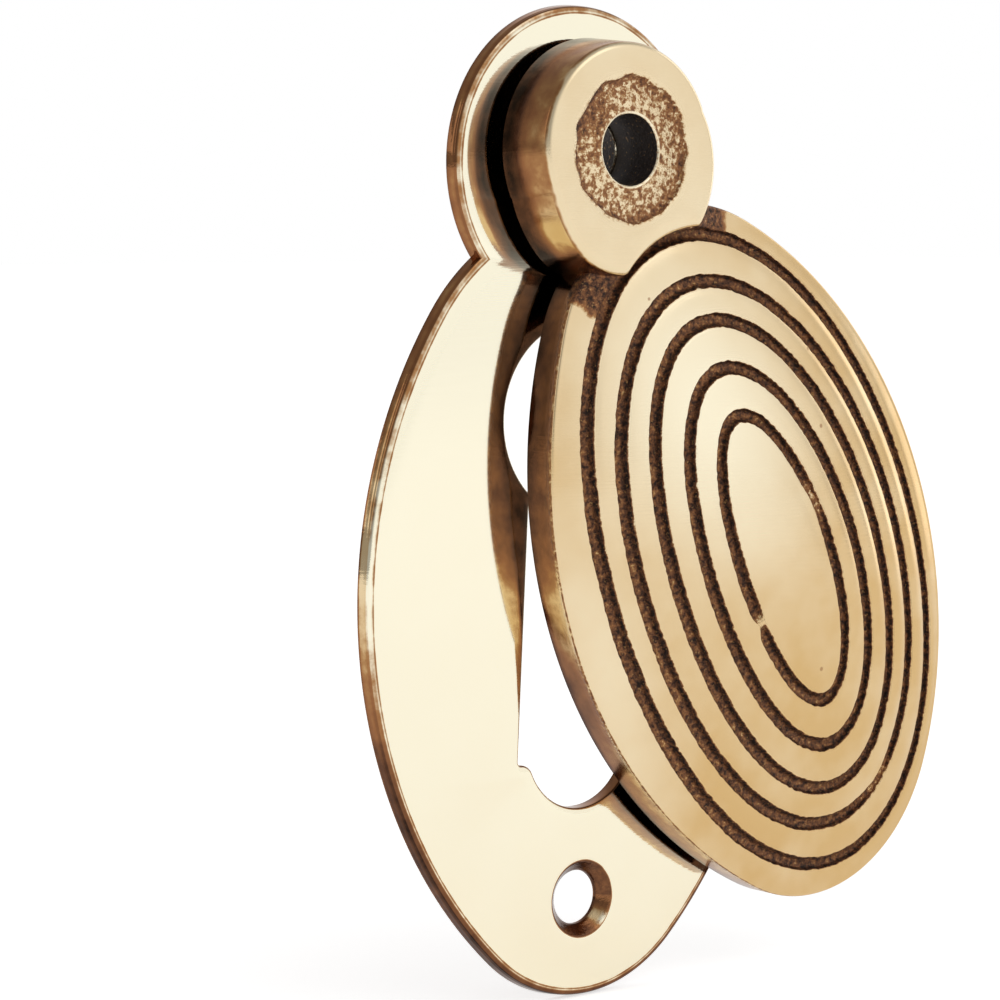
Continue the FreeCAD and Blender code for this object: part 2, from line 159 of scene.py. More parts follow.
class BrassColours(bpy.types.PropertyGroup):
    polished: tint("Polished brass", (0.955, 0.905, 0.72), "Mirror-polished faces")
    brushed: tint("Brushed brass", (0.98, 0.89, 0.67), "Ridges of the cover")
    tarnished: tint("Tarnished brass", (0.66, 0.445, 0.2), "Bright metal that has warmed with age")
    bronze: tint("Bronze film", (0.54, 0.31, 0.115), "Thinnest dark finish, gold shows through")
    umber: tint("Umber film", (0.29, 0.125, 0.052), "Thin dark finish on the walls")
    patina: tint("Patina", (0.115, 0.05, 0.027), "Dark finish left in the hollows")
    # This darkest tint is also painted shade: the bore and the pivot hole are coloured with it.
    soot_and_shade: tint("Soot", (0.024, 0.013, 0.009), "Darkest corners and the bore")


def scene_sizes():
    scene = bpy.context.scene
    return scene.plate_sizes, scene.cover_sizes, scene.boss_sizes, scene.brass_colours


# Outlines in the plane of the plate

def arc(centre, radius, first, last, steps):
    """Points along an arc, from its first angle up to but not with its last."""
    turns = [first + (last - first) * i / steps for i in range(steps)]
    return [(centre[0] + radius * cos(t), centre[1] + radius * sin(t)) for t in turns]


def line(first, last, steps):
    """Points along a line, from its first end up to but not with its last."""
    parts = [i / steps for i in range(steps)]
    return [(first[0] + (last[0] - first[0]) * p, first[1] + (last[1] - first[1]) * p) for p in parts]


CIRCLE_STEPS = 96


def circle(centre, radius):
    return arc(centre, radius, 0.0, 2 * pi, CIRCLE_STEPS)


def side_radius(half_width, height, end_radius):
    """Radius of the side arc that is tangent to the end arc of half an oval."""
    return (half_width ** 2 + height ** 2 - 2 * height * end_radius) / (2 * (half_width - end_radius))


def angle_about(centre, point):
    return atan2(point[1] - centre[1], point[0] - centre[0])


def circles_meet(c0, r0, c1, r1):
    """Right and left point where two circles, one above the other, meet."""
    dx, dz = c1[0] - c0[0], c1[1] - c0[1]
    gap = hypot(dx, dz)
    along = (r0 ** 2 - r1 ** 2 + gap ** 2) / (2 * gap)
    out = sqrt(r0 ** 2 - along ** 2)
    foot = (c0[0] + dx * along / gap, c0[1] + dz * along / gap)
    pair = [(foot[0] + s * out * dz / gap, foot[1] - s * out * dx / gap) for s in (-1, 1)]
    return max(pair), min(pair)


def plate_outline(size, grow):
    """Outline of lobe and oval, grown outwards all round."""
    a, drop, shift = size.half_width, size.oval_drop, size.shift
    upper = side_radius(a, size.upper_height, size.upper_radius)
    lower = side_radius(a, size.lower_height, size.lower_radius)
    rise, fall = size.upper_height - size.upper_radius, size.lower_height - size.lower_radius
    upper_lean, lower_lean = atan2(rise, upper - a), atan2(fall, lower - a)
    lobe, cap = (0.0, -size.lobe_drop), (shift, rise - drop)
    lobe_radius, cap_radius = size.lobe_radius + grow, size.upper_radius + grow
    right, left = circles_meet(lobe, lobe_radius, cap, cap_radius)
    return (
        arc(lobe, lobe_radius, angle_about(lobe, right), angle_about(lobe, left) + 2 * pi, 130)
        + arc(cap, cap_radius, angle_about(cap, left), pi - upper_lean, 20)
        + arc((shift - a + upper, -drop), upper + grow, pi - upper_lean, pi, 60)
        + arc((shift - a + lower, -drop), lower + grow, pi, pi + lower_lean, 60)
        + arc((shift, -drop - fall), size.lower_radius + grow, pi + lower_lean, 2 * pi - lower_lean, 80)
        + arc((shift + a - lower, -drop), lower + grow, -lower_lean, 0.0, 60)
        + arc((shift + a - upper, -drop), upper + grow, 0.0, upper_lean, 60)
        + arc(cap, cap_radius, upper_lean, angle_about(cap, right), 20)
    )


def keyhole_outline(size, grow):
    """Outline of the keyhole, grown outwards all round."""
    round_centre, round_radius = (0.0, -size.key_drop), size.key_radius + grow
    foot_centre, foot_radius = (0.0, -size.key_foot_drop), size.key_foot_radius + grow
    flare = atan2(size.key_skirt - size.key_neck, size.key_skirt_drop - size.key_drop)
    way, out = (sin(flare), -cos(flare)), (cos(flare), sin(flare))
    start = (size.key_neck + grow * out[0], grow * out[1])
    lean = start[0] * way[0] + start[1] * way[1]
    reach = sqrt(lean ** 2 - start[0] ** 2 - start[1] ** 2 + round_radius ** 2) - lean
    neck = (start[0] + reach * way[0], round_centre[1] + start[1] + reach * way[1])
    corner_z = size.key_corner - size.key_skirt_drop
    down = (-size.key_drop - corner_z + out[1] * -size.key_corner) / cos(flare)
    corner = (size.key_neck - out[0] * size.key_corner + way[0] * down, corner_z)
    shoulder = arc(corner, size.key_corner + grow, -pi / 2, flare, 6)
    shoulder_round = size.key_corner + grow
    shoulder_end = (corner[0] + shoulder_round * cos(flare), corner[1] + shoulder_round * sin(flare))
    floor_z = -size.key_skirt_drop - grow
    soft = max(size.key_foot_round - grow, 0.05 * MM)
    soft_z = floor_z - soft
    soft_corner = (sqrt((foot_radius + soft) ** 2 - (soft_z - foot_centre[1]) ** 2), soft_z)
    neck_turn, foot_turn = angle_about(round_centre, neck), angle_about(foot_centre, soft_corner)
    right = (
        arc(soft_corner, soft, foot_turn + pi, pi / 2, 8)
        + line((soft_corner[0], floor_z), shoulder[0], 5) + shoulder + line(shoulder_end, neck, 60)
    )
    left = [(-x, z) for x, z in reversed(right[1:])]
    return (
        arc(round_centre, round_radius, neck_turn, pi - neck_turn, 120)
        + [(-neck[0], neck[1])] + left
        + arc(foot_centre, foot_radius, -pi - foot_turn, foot_turn, 60)
        + right
    )


def oval_point(size, turn, shrink):
    """Point of the cover's outline, moved inwards, on the ray that an ellipse has at this turn."""
    a, b, end = size.half_width, size.half_height, size.end_radius
    side = side_radius(a, b, end)
    lean = atan2(b - end, side - a)
    ray = Vector((a * cos(turn), b * sin(turn))).normalized()
    x, z = abs(ray[0]), abs(ray[1])
    reach = far_hit((0.0, b - end), end - shrink, (x, z))
    if angle_about((0.0, b - end), (reach * x, reach * z)) < lean:
        reach = far_hit((a - side, 0.0), side - shrink, (x, z))
    return size.shift + reach * ray[0], reach * ray[1] - size.oval_drop


def far_hit(centre, radius, ray):
    """Distance along a ray from the origin to the far side of a circle."""
    along = centre[0] * ray[0] + centre[1] * ray[1]
    return along + sqrt(max(along ** 2 - centre[0] ** 2 - centre[1] ** 2 + radius ** 2, 0.0))


# Loops of vertices that are extruded into walls and faces

class Shell:
    """A bmesh that grows loop by loop, each with its patina, grit and wear. Its age sets how tarnished they
    are; age_dome lowers that to paint a highlight on the dome.
    """

    def __init__(self):
        self.bm = bmesh.new()
        new_layer = self.bm.verts.layers.float.new
        self.patina, self.grit, self.wear, self.tarnish_and_highlight = [new_layer(name) for name in LAYERS]
        self.age = 0.0

    def lay(self, ring, points, patina, grit, wear):
        """Place a loop's vertices. Patina is one number, or a list with one for each vertex."""
        films = patina if isinstance(patina, list) else [patina] * len(ring)
        for vertex, (x, z, height), film in zip(ring, points, films):
            vertex.co = (x, -height, z)
            vertex[self.patina] = film
            vertex[self.grit] = grit
            vertex[self.wear] = wear
            vertex[self.tarnish_and_highlight] = self.age
        return ring

    def start(self, points, patina=0.0, grit=0.0, wear=0.0):
        ring = bmesh.ops.create_circle(self.bm, cap_ends=False, segments=len(points), radius=1.0)["verts"]
        return self.lay(ring, points, patina, grit, wear)

    def edges(self, ring):
        return [self.bm.edges.get(pair) for pair in zip(ring, ring[1:] + ring[:1])]

    def grow(self, ring, points, patina=0.0, grit=0.0, wear=0.0):
        made = bmesh.ops.extrude_edge_only(self.bm, edges=self.edges(ring))["geom"]
        new = {item for item in made if isinstance(item, bmesh.types.BMVert)}
        grown = [next(e.other_vert(v) for e in v.link_edges if e.other_vert(v) in new) for v in ring]
        return self.lay(grown, points, patina, grit, wear)

    def fill(self, *rings):
        edges = [edge for ring in rings for edge in self.edges(ring)]
        bmesh.ops.triangle_fill(self.bm, use_beauty=True, use_dissolve=False, edges=edges)

    def bridge(self, first, second):
        bmesh.ops.bridge_loops(self.bm, edges=self.edges(first) + self.edges(second))

    def finish(self, name, placing=None):
        bmesh.ops.recalc_face_normals(self.bm, faces=self.bm.faces)
        if placing is not None:
            bmesh.ops.transform(self.bm, matrix=placing, verts=self.bm.verts)
        for face in self.bm.faces:
            face.smooth = True
        for edge in self.bm.edges:
            cast = all(vertex[self.grit] > 0.5 for vertex in edge.verts)
            edge.smooth = cast or edge.calc_face_angle(0.0) < SHARP
        mesh = bpy.data.meshes.new(name)
        self.bm.to_mesh(mesh)
        self.bm.free()
        piece = bpy.data.objects.new(name, mesh)
        bpy.context.scene.collection.objects.link(piece)
        return piece


def level(points, height):
    return [(x, z, height) for x, z in points]


def rounding(radius, steps):
    """Steps in and up along a quarter round, from the wall to the face."""
    turns = [pi / 2 * i / steps for i in range(steps + 1)]
    return [(radius * (1 - cos(t)), radius * (sin(t) - 1)) for t in turns]


def soft_step(value, low, high):
    part = min(max((value - low) / (high - low), 0.0), 1.0)
    return part * part * (3 - 2 * part)


def hump(value, middle, spread):
    return exp(-((value - middle) / spread) ** 2)


# Backplate

def wall_film_and_reflection(outline, film):
    """Patina along the plate's wall, partly a painted reflection: dark at top and bottom, thin at half
    height so gold stands for a painted highlight, darker towards the foot.
    """
    foot = [0.4 * soft_step(z, -36.0 * MM, -48.0 * MM) for _, z in outline]
    return [film * (1 - 0.85 * hump(z, -30.0 * MM, 9.0 * MM)) + low for (_, z), low in zip(outline, foot)]


def cast_plate(size):
    shell = Shell()
    thick, edge, lean = size.thickness, size.edge_round, tan(size.draft)
    nick, roll = 0.05 * MM, size.roll_width
    outline = plate_outline(size, 0.0)

    back = shell.start(level(plate_outline(size, -nick), 0.0), 0.6)
    ring = shell.grow(back, level(outline, nick), 0.6)
    for part, film in ((0.3, 0.44), (0.6, 0.36), (0.85, 0.4)):
        height = part * (thick - edge)
        points = level(plate_outline(size, -lean * height), height)
        ring = shell.grow(ring, points, wall_film_and_reflection(outline, film))
    for inward, rise in rounding(edge, 7):
        shrink = inward + lean * (thick - edge)
        patina = wall_film_and_reflection(outline, 0.5 if inward < 0.3 * edge else 0.24)
        ring = shell.grow(ring, level(plate_outline(size, -shrink), thick + rise - size.roll_drop), patina)
    # Patina on the roll paints a thin dark line along the edge: a painted reflection of dark surroundings.
    painted_dark_line = {0.08: 0.12, 0.15: 0.34}
    for part in (0.08, 0.15, 0.22, 0.45, 0.65, 0.85, 1.0):
        patina = painted_dark_line.get(part, 0.0)
        drop = size.roll_drop * (1 - part) ** 2
        ring = shell.grow(ring, level(plate_outline(size, -shrink - part * roll), thick - drop), patina)
    front = shell.grow(ring, level(plate_outline(size, -shrink - 1.05 * roll), thick))

    key_back = shell.start(level(keyhole_outline(size, 0.0), 0.0), 0.6)
    ring = shell.grow(key_back, level(keyhole_outline(size, 0.0), 0.4 * thick), 0.5)
    soft = 0.5 * size.roll_drop
    for outward, rise in rounding(0.7 * edge, 5):
        patina = 0.5 if outward < 0.2 * edge else 0.0
        ring = shell.grow(ring, level(keyhole_outline(size, outward), thick + rise - soft), patina)
    for part in (0.3, 0.65, 1.0, 1.05):
        drop = soft * (1 - min(part, 1.0)) ** 2
        ring = shell.grow(ring, level(keyhole_outline(size, outward + 0.45 * part * roll), thick - drop))
    key_front = ring

    centre = (0.0, -size.screw_drop)
    depth = size.sink_radius - size.screw_radius
    hole_back = shell.start(level(circle(centre, size.screw_radius), 0.0), 0.6)
    ring = shell.grow(hole_back, level(circle(centre, size.screw_radius), thick - depth - nick), 0.9)
    turns = [360.0 * i / CIRCLE_STEPS for i in range(CIRCLE_STEPS)]
    sunk = [0.72 - 0.66 * hump(turn, 318.0, 19.0) - 0.3 * hump(turn, 352.0, 7.0) for turn in turns]
    for step in range(6):
        part = (step + 0.15) / 5.4
        height = thick - depth * (1 - part)
        ring = shell.grow(ring, level(circle(centre, size.screw_radius + part * depth), height), sunk, 0.2)
    for out, drop, patina in ((0.02, 0.03, 0.3), (0.1, 0.012, 0.0), (0.22, 0.003, 0.0), (0.3, 0.0, 0.0)):
        points = level(circle(centre, size.sink_radius + out * MM), thick - drop * MM)
        ring = shell.grow(ring, points, patina)
    hole_front = ring

    centre = (0.0, 0.0)
    seat_top = thick + size.seat_height
    pivot_back = shell.start(level(circle(centre, size.pivot_radius), 0.0), 0.6)
    # The hole's wall gets patina beyond 1, so it turns near-black: painted shade inside the pivot hole.
    ring = shell.grow(pivot_back, level(circle(centre, size.pivot_radius), nick), 1.5, 1.0)
    ring = shell.grow(ring, level(circle(centre, size.pivot_radius), seat_top - 4 * nick), 1.5, 1.0)
    ring = shell.grow(ring, level(circle(centre, size.pivot_radius), seat_top - nick), 0.3, 0.0, 1.0)
    ring = shell.grow(ring, level(circle(centre, size.pivot_radius + nick), seat_top), 0.2, 0.0, 1.0)
    ring = shell.grow(ring, level(circle(centre, size.seat_radius - nick), seat_top), 0.8)
    ring = shell.grow(ring, level(circle(centre, size.seat_radius), seat_top - nick), 0.8)
    ring = shell.grow(ring, level(circle(centre, size.seat_radius), thick), 0.8)
    for out, patina in ((0.4, 0.7), (2.0, 0.45), (2.8, 0.25), (3.5, 0.0)):
        ring = shell.grow(ring, level(circle(centre, size.seat_radius + out * MM), thick), patina)
    seat_foot = ring

    shell.fill(front, key_front, hole_front, seat_foot)
    shell.fill(back, key_back, hole_back, pivot_back)
    for vertex in shell.bm.verts:
        on_wall = -vertex.co.y < thick - edge
        vertex[shell.tarnish_and_highlight] = 0.9 if on_wall else 0.13 * max(-vertex.co.z / size.screw_drop, 0.0)
    return shell.finish("polished_backplate")


# Cover

def dome_top(size, x, z):
    """Height of the dome over a point, bent across and along the cover."""
    across, along = x - size.ring_shift, z + size.oval_drop
    ridge = sqrt(size.cross_radius ** 2 - across ** 2) - size.cross_radius + size.long_radius
    return sqrt(ridge ** 2 - along ** 2) - size.long_radius + size.dome_height


# Half heights of the ring grooves' middle lines, from the rim inwards
RING_ENDS = (26.25 * MM, 22.65 * MM, 19.65 * MM, 15.9 * MM, 12.1 * MM)

# Places where metal partly fills a groove: ring, turn and spread in degrees, and share
FLAWS = ((4, 195.4, 3.2, 0.95), (4, 13.0, 9.0, 0.45), (1, 286.0, 7.0, 0.5))


def filled_share(number, turn):
    """How far a groove is filled with metal at a turn in degrees."""
    most = 0.0
    for ring, middle, spread, share in FLAWS:
        if ring == number:
            off = (turn - middle + 180) % 360 - 180
            most = max(most, share * hump(off, 0.0, spread))
    return most


def ring_points(size, across, along, steps, out=0.0, dip=0.0, rough=0.0, aside=0.0, fills=None):
    """Points of an upright ellipse on the dome, moved out, sunk by a dip and slightly uneven."""
    points = []
    for i, fill in enumerate(fills or [0.0] * steps):
        turn = 2 * pi * i / steps
        step = out * (1 - 0.45 * fill)
        x, z = (across + step) * cos(turn), (along + step) * sin(turn)
        fine = noise.noise(Vector((x, z, 0.0)) / (0.45 * MM))
        coarse = noise.noise(Vector((x, z, 0.0)) / (2.5 * MM) + Vector((0.0, 0.0, 9.0)))
        wobble = rough * (fine + 0.7 * coarse)
        x = x * (1 + wobble / across) + size.ring_shift + aside
        z = z * (1 + wobble / along) - size.oval_drop
        points.append((x, z, dome_top(size, x, z) - dip * (1 - fill)))
    return points


def cast_dome(size, steps=650):
    """The oval dome: wall, rounded rim, five rough ring grooves with ridges between, and the middle."""
    shell = Shell()
    turns = [2 * pi * i / steps for i in range(steps)]
    edge, nick = size.edge_round, 0.08 * MM

    def rim(shrink, share, drop=0.0):
        points = []
        for turn in turns:
            x, z = oval_point(size, turn, shrink)
            x0, z0 = oval_point(size, turn, edge)
            points.append((x, z, (dome_top(size, x0, z0) - edge) * share + drop))
        return points

    def painted_highlight(film):
        """Film along the wall, dark partly as patina and partly as a painted reflection of dark
        surroundings; thin at the middle of the left side, where gold stands for a painted highlight;
        thinner below it.
        """
        around = [degrees(turn) for turn in turns]
        thin = [soft_step(a, 178.0, 200.0) * soft_step(a, 330.0, 270.0) for a in around]
        return [film - 0.54 * hump(a, 171.0, 9.0) - 0.38 * low for a, low in zip(around, thin)]

    back = shell.start(rim(nick, 0.0), 0.9)
    ring = shell.grow(back, rim(0.0, 0.0, nick), 0.9)
    # The wall's dark film is partly patina and partly a painted reflection of dark surroundings.
    wall_steps = ((0.25, 0.8, 0.0), (0.5, 0.7, 0.0), (0.75, 0.64, 0.0), (0.92, 0.56, 0.3), (1.0, 0.45, 0.8))
    for share, film, grit in wall_steps:
        ring = shell.grow(ring, rim(0.0, share), painted_highlight(film), grit)
    for inward, rise in rounding(edge, 7)[1:]:
        patina = 0.35 if inward < 0.15 * edge else 0.0
        ring = shell.grow(ring, rim(inward, 1.0, edge + rise), patina, 0.8 if patina else 0.0)

    half, lip, crown = size.groove_width / 2, 0.2 * MM, size.ridge_crown
    last_rim = [oval_point(size, turn, edge) for turn in turns]
    widths = [size.ring_across - i * size.ring_pitch for i in range(len(RING_ENDS))]
    widths[0] -= size.first_aside
    asides = [size.first_aside] + [0.0] * (len(RING_ENDS) - 1)
    first = ring_points(size, widths[0], RING_ENDS[0], steps, out=half + lip, aside=asides[0])
    for step in range(1, 9):
        part = step / 9
        blend = []
        for (x0, z0), (x1, z1, _) in zip(last_rim, first):
            x, z = x0 + (x1 - x0) * part, z0 + (z1 - z0) * part
            blend.append((x, z, dome_top(size, x, z) - crown * part ** 6))
        ring = shell.grow(ring, blend)

    # half of a groove's section, from its lip to its middle: way out, dip, patina, grit and roughness
    section = (
        (lip, crown, 0.0, 0.0, 0.0), (0.12 * MM, crown + 0.01 * MM, 0.0, 0.0, 0.15),
        (0.05 * MM, crown + 0.04 * MM, 0.0, 0.6, 0.5), (0.0, crown + 0.1 * MM, 0.45, 1.0, 0.9),
        (-0.05 * MM, 0.28 * MM, 0.9, 1.0, 1.0), (-0.11 * MM, 0.5 * MM, 0.8, 1.0, 1.0),
        (-0.2 * MM, 0.69 * MM, 0.68, 1.0, 1.0), (-0.38 * MM, size.groove_depth, 0.6, 1.0, 1.0),
    )
    for number, (across, along) in enumerate(zip(widths, RING_ENDS)):
        fills = [filled_share(number, degrees(turn)) for turn in turns]
        whole = [(half + out, *rest) for out, *rest in section]
        whole += [(-out, *rest) for out, *rest in reversed(whole)]
        for out, dip, film, grit, rough in whole:
            rough *= size.groove_rough
            points = ring_points(size, across, along, steps, out, dip, rough, asides[number], fills)
            ring = shell.grow(ring, points, [film * (1 - fill) for fill in fills], grit)
        inner = (across - half - lip, along - half - lip)
        if number + 1 < len(RING_ENDS):
            outer = (widths[number + 1] + half + lip, RING_ENDS[number + 1] + half + lip)
            for part, fall in ((0.12, 0.55), (0.3, 0.15), (0.5, 0.0), (0.7, 0.15), (0.88, 0.55)):
                at = [inner[i] + (outer[i] - inner[i]) * part for i in (0, 1)]
                aside = asides[number] * (1 - part)
                ring = shell.grow(ring, ring_points(size, *at, steps, dip=crown * fall, aside=aside))
    for part in (0.95, 0.87, 0.78, 0.68, 0.57, 0.44, 0.32, 0.2, 0.1, 0.03):
        dip = crown * soft_step(part, 0.68, 1.0)
        ring = shell.grow(ring, ring_points(size, inner[0] * part, inner[1] * part, steps, dip=dip))
    shell.fill(ring)
    shell.fill(back)
    return shell


def age_dome(shell, size, boss):
    """Raise the rough cast fillets beside the boss, and warm the metal, except at a painted highlight in
    the upper middle and along the left of the rim.
    """
    across = size.ring_across + size.groove_width / 2
    along = RING_ENDS[0] + size.groove_width / 2
    for vertex in shell.bm.verts:
        x, z = vertex.co.x, vertex.co.z
        top = dome_top(size, x, z)
        outside = hypot((x - size.ring_shift) / across, (z + size.oval_drop) / along)
        gap = hypot(x, z + boss.neck) - boss.front_radius
        ragged = gap + 0.7 * MM * noise.noise(vertex.co / (1.2 * MM))
        near = soft_step(ragged, 3.6 * MM, 2.6 * MM)
        if outside > 0.99 and near > 0.0 and -vertex.co.y > 0.8 * top:
            vertex.co.y -= boss.fillet_rise * max(1 - max(gap, 0.0) / boss.fillet_reach, 0.0) ** 2
            vertex[shell.patina] = max(vertex[shell.patina], 0.7 * near)
            vertex[shell.grit] = max(vertex[shell.grit], near)
        # Painted highlight: the top keeps bright untarnished metal in the upper middle and along the left
        # of the rim.
        middle = hump(x, -2.0 * MM, 9.5 * MM) * hump(z, -20.0 * MM, 13.5 * MM)
        left_rim = hump(x, -17.0 * MM, 4.0 * MM) * hump(z, -37.0 * MM, 13.0 * MM)
        on_top = -vertex.co.y > 0.9 * top
        vertex[shell.tarnish_and_highlight] = 1.0 - (middle + 0.5 * left_rim if on_top else 0.0)


def cast_boss(shell, boss, cover, steps=256):
    """The round boss: tapered wall, rounded edge, crowned face, rough recess and bore."""
    turns = [2 * pi * i / steps for i in range(steps)]
    a = cover.ring_across + cover.groove_width / 2
    b = RING_ENDS[0] + cover.groove_width / 2

    def groove_limit(turn):
        """Distance from the hinge axis to the outer edge of the outermost groove."""
        ux, uz = cos(turn), sin(turn)
        px, pz = -cover.ring_shift, cover.oval_drop
        qa = (ux / a) ** 2 + (uz / b) ** 2
        qb = px * ux / a ** 2 + pz * uz / b ** 2
        qc = (px / a) ** 2 + (pz / b) ** 2 - 1
        root = qb ** 2 - qa * qc
        return (-qb - sqrt(root)) / qa if root > 0 and qb < 0 else 1.0

    def reach(turn, radius):
        """Radius of the boss at a turn: a slot that swells at the lower left, cut back at the groove."""
        slot = far_hit((0.0, -boss.neck), radius, (cos(turn), sin(turn))) if sin(turn) < 0 else radius
        if sin(turn) < 0 and abs(slot * cos(turn)) > 0.999 * radius:
            slot = radius / abs(cos(turn))
        slot += boss.bulge * hump(degrees(turn), 226.0, 24.0)
        return min(slot, groove_limit(turn) - boss.edge_round * 0.3)

    def wall(radius, height, inward=0.0):
        points = []
        for turn in turns:
            r = reach(turn, radius) - inward
            points.append((r * cos(turn), r * sin(turn), height))
        return points

    def film_around(film):
        """Patina round the wall, with a painted highlight: thin to gold at the left; darker below, down to
        the rim.
        """
        around = [degrees(turn) for turn in turns]
        painted_highlight = 0.4 if film < 0.4 else 0.1
        return [film - painted_highlight * hump(a, 200.0, 10.0) + 0.24 * hump(a, 224.0, 12.0) for a in around]

    top, edge, crown, nick = boss.height, boss.edge_round, boss.crown, 0.08 * MM
    shell.age = 1.0
    back = shell.start(wall(boss.back_radius, 0.0, nick), 0.9)
    ring = shell.grow(back, wall(boss.back_radius, nick), 0.9)
    for part, film in ((0.15, 0.95), (0.35, 0.8), (0.48, 0.45), (0.62, 0.33), (0.8, 0.3), (1.0, 0.28)):
        radius = boss.back_radius + (boss.front_radius - boss.back_radius) * part
        ring = shell.grow(ring, wall(radius, part * (top - edge)), film_around(film))
    shell.age = 0.5
    for inward, rise in rounding(edge, 8)[1:]:
        film = 0.3 * soft_step(inward, 0.3 * edge, 0.0)
        ring = shell.grow(ring, wall(boss.front_radius, top + rise - crown, inward), film)

    face = wall(boss.front_radius, top, edge)
    for part in (0.12, 0.3, 0.5, 0.7, 0.88):
        points = []
        for x, z, height in face:
            r = hypot(x, z)
            r1 = r + (boss.recess_radius + 0.2 * MM - r) * part
            points.append((x * r1 / r, z * r1 / r, height - crown * (1 - part / 0.7) ** 2))
        ring = shell.grow(ring, points)

    floor = top - boss.recess_depth
    mouth = floor + boss.mouth_rise
    span = boss.recess_radius - boss.bore_radius
    # from the recess's edge to the back of the bore: way out, height, patina, grit and wear
    steps_in = (
        (1.0, top - 0.04 * MM, 0.1, 0.8, 0.0), (0.985, top - 0.1 * MM, 0.3, 1.0, 0.0),
        (0.95, top - 0.22 * MM, 0.46, 1.0, 0.0), (0.9, floor + 0.04 * MM, 0.44, 1.0, 0.0),
        (0.75, floor, 0.27, 1.0, 0.0), (0.5, floor + 0.3 * boss.mouth_rise, 0.2, 1.0, 0.0),
        (0.25, floor + 0.8 * boss.mouth_rise, 0.2, 1.0, 0.0), (0.08, mouth, 0.26, 1.0, 0.0),
        (0.03, mouth, 0.1, 0.0, 1.0), (0.0, mouth - 0.07 * MM, 0.3, 0.0, 0.6),
        # These last rows paint the bore's wall near-black: painted shade inside the bore.
        (0.0, mouth - 0.16 * MM, 1.5, 1.0, 0.0), (0.0, 0.5 * floor, 1.5, 1.0, 0.0),
        (0.0, 0.0, 1.5, 1.0, 0.0),
    )
    for part, height, film, grit, wear in steps_in:
        points = []
        rough = 0.3 * MM if 0.8 < part <= 1.0 else (0.03 * MM if part > 0.1 else 0.0)
        bumps = 0.05 * MM if 0.1 < part < 0.9 else 0.0
        for turn in turns:
            r = boss.bore_radius + span * part
            r += rough * noise.noise(Vector((cos(turn), sin(turn), 0.3)) * 4)
            lift = bumps * noise.noise(Vector((r * cos(turn), r * sin(turn), 0.0)) / (0.6 * MM))
            points.append((r * cos(turn), r * sin(turn), height + lift))
        # The recess is darker towards a turn of 125 degrees, at its upper left.
        darker_upper_left = 0.25 if 0.1 < part < 0.95 else 0.0
        films = [film + darker_upper_left * hump(degrees(turn), 125.0, 28.0) for turn in turns]
        ring = shell.grow(ring, points, films, grit, wear)
    shell.bridge(ring, back)


def cast_cover(cover, boss):
    shell = cast_dome(cover)
    age_dome(shell, cover, boss)
    cast_boss(shell, boss, cover)
    placing = Matrix.Translation((0.0, -cover.back, 0.0)) @ Matrix.Rotation(-cover.swing, 4, "Y")
    return shell.finish("ringed_cover", placing)


# Finishes

class Nodes:
    """A node tree that is built up node by node."""

    def __init__(self, tree):
        self.tree = tree
        tree.nodes.clear()

    def add(self, kind, **settings):
        node = self.tree.nodes.new(kind)
        for name, value in settings.items():
            setattr(node, name, value)
        return node

    def put(self, node, **inputs):
        for name, value in inputs.items():
            socket = node.inputs[int(name[1:])] if name[0] == "_" else node.inputs[name.replace("_", " ")]
            if isinstance(value, bpy.types.NodeSocket):
                self.tree.links.new(value, socket)
            else:
                socket.default_value = value
        return node

    def sum(self, operation, first, second, clamp=False):
        node = self.add("ShaderNodeMath", operation=operation, use_clamp=clamp)
        return self.put(node, _0=first, _1=second).outputs[0]

    def noise(self, where, scale, detail, roughness=0.6):
        """A noise pattern with so many features to the metre."""
        node = self.add("ShaderNodeTexNoise")
        self.put(node, Vector=where, Scale=scale, Detail=detail, Roughness=roughness)
        return node.outputs["Fac"]

    def ramp(self, value, low, high):
        """A smooth rise from 0 to 1 between two values."""
        node = self.add("ShaderNodeMapRange", clamp=True, interpolation_type="SMOOTHSTEP")
        self.put(node, Value=value, From_Min=low, From_Max=high)
        return node.outputs["Result"]

    def span(self, value, low, high):
        """A straight change from low to high, as the value goes from 0 to 1."""
        node = self.add("ShaderNodeMapRange", clamp=True)
        self.put(node, Value=value, To_Min=low, To_Max=high)
        return node.outputs["Result"]

    def blend(self, share, first, second):
        node = self.add("ShaderNodeMix", data_type="FLOAT")
        return self.put(node, _0=share, _2=first, _3=second).outputs[0]

    def around(self, value, pattern, amount):
        """A value that wanders with a noise pattern."""
        swing = self.sum("MULTIPLY", self.sum("SUBTRACT", pattern, 0.5), amount)
        return self.sum("ADD", value, swing, clamp=True)

    def stops(self, value, *stops):
        """A colour scale with its stops in rising order, from 0 to 1."""
        node = self.put(self.add("ShaderNodeValToRGB"), Fac=value)
        for place, _ in stops[1:-1]:
            node.color_ramp.elements.new(place)
        for element, (_, colour) in zip(node.color_ramp.elements, stops):
            element.color = rgba(colour)
        return node.outputs["Color"]

    def pinholes(self, where, scale):
        """Small dots, one in some of the cells."""
        cells = self.put(self.add("ShaderNodeTexVoronoi"), Vector=where, Scale=scale)
        dot = self.ramp(cells.outputs["Distance"], 0.055, 0.035)
        pick = self.put(self.add("ShaderNodeSeparateColor"), Color=cells.outputs["Color"]).outputs[0]
        return self.sum("MULTIPLY", dot, self.ramp(pick, 0.6, 0.62))

    def mix(self, share, first, second):
        node = self.add("ShaderNodeMix", data_type="RGBA")
        return self.put(node, _0=share, _6=first, _7=second).outputs[2]


def rgba(colour):
    return (*colour, 1.0)


